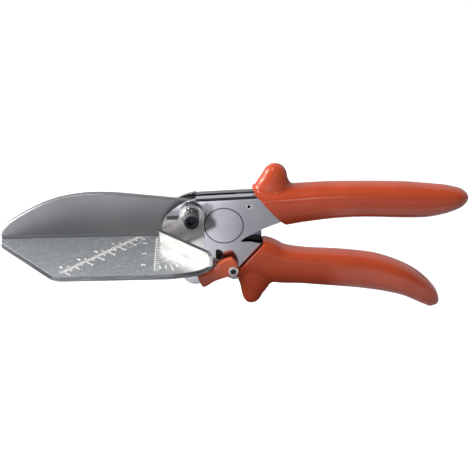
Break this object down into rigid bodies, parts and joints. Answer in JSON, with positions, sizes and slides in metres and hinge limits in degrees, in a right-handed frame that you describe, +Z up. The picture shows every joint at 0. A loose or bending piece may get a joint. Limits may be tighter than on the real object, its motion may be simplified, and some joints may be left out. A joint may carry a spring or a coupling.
{
  "type": "mitre shears",
  "caption": "Hand shears whose curved blade closes on a wide ruled table with an angled fence, with dipped grips, a return spring and a swing latch.",
  "frame": {"origin": "middle of the closed tool's box in plan, at the height of the lower grip's lowest point", "axes": "+X from the blade's tip to the grips, +Y from the face with the fence to the back, +Z up from the table to the blade"},
  "size_m": [0.328, 0.0734, 0.1145],
  "materials": {
    "plated_steel": "bright nickel plate, faintly lilac",
    "blade_steel": "satin ground tool steel, dark grey",
    "aluminium": "satin with fine scratches and engraved marks",
    "bright_steel": "bright plate",
    "grey_steel": "dull zinc plate",
    "black_steel": "black oxide",
    "spring_steel": "oiled spring wire",
    "red_dip": "glossy dipped vinyl, orange red"
  },
  "bodies": {
    "upper_lever": {"upper_plate_front": "plated_steel", "upper_plate_back": "plated_steel", "upper_grip": "red_dip", "table": "aluminium", "table_rivet_1": "plated_steel", "table_rivet_2": "plated_steel", "fence": "plated_steel", "fence_pin": "bright_steel", "pivot_bolt": "black_steel", "pivot_bush": "grey_steel", "pivot_ring": "bright_steel", "pivot_washer_back": "bright_steel", "pivot_nut": "grey_steel", "pivot_sleeve": "grey_steel", "spring_block": "grey_steel", "roll_pin": "bright_steel", "return_spring": "spring_steel", "upper_filler": "grey_steel", "upper_rivet": "grey_steel"},
    "lower_lever": {"lower_plate_front": "plated_steel", "lower_plate_back": "plated_steel", "blade": "blade_steel", "blade_screw": "black_steel", "spring_seat": "grey_steel", "lower_grip": "red_dip", "lower_filler": "grey_steel", "lower_rivet": "grey_steel", "latch_spacer": "grey_steel", "latch_screw": "bright_steel"},
    "latch": {"latch": "red_dip"}
  },
  "joints": [
    {"name": "lever_pivot", "type": "hinge", "parent": "upper_lever", "child": "lower_lever", "pos_m": [-0.02955, 0.0207, 0.08029], "axis": [0, 1, 0], "range_deg": [0, 25], "deforming": ["return_spring"]},
    {"name": "latch_pivot", "type": "hinge", "parent": "lower_lever", "child": "latch", "pos_m": [-0.00125, 0.0207, 0.03739], "axis": [0, -1, 0], "range_deg": [0, 40]}
  ]
}
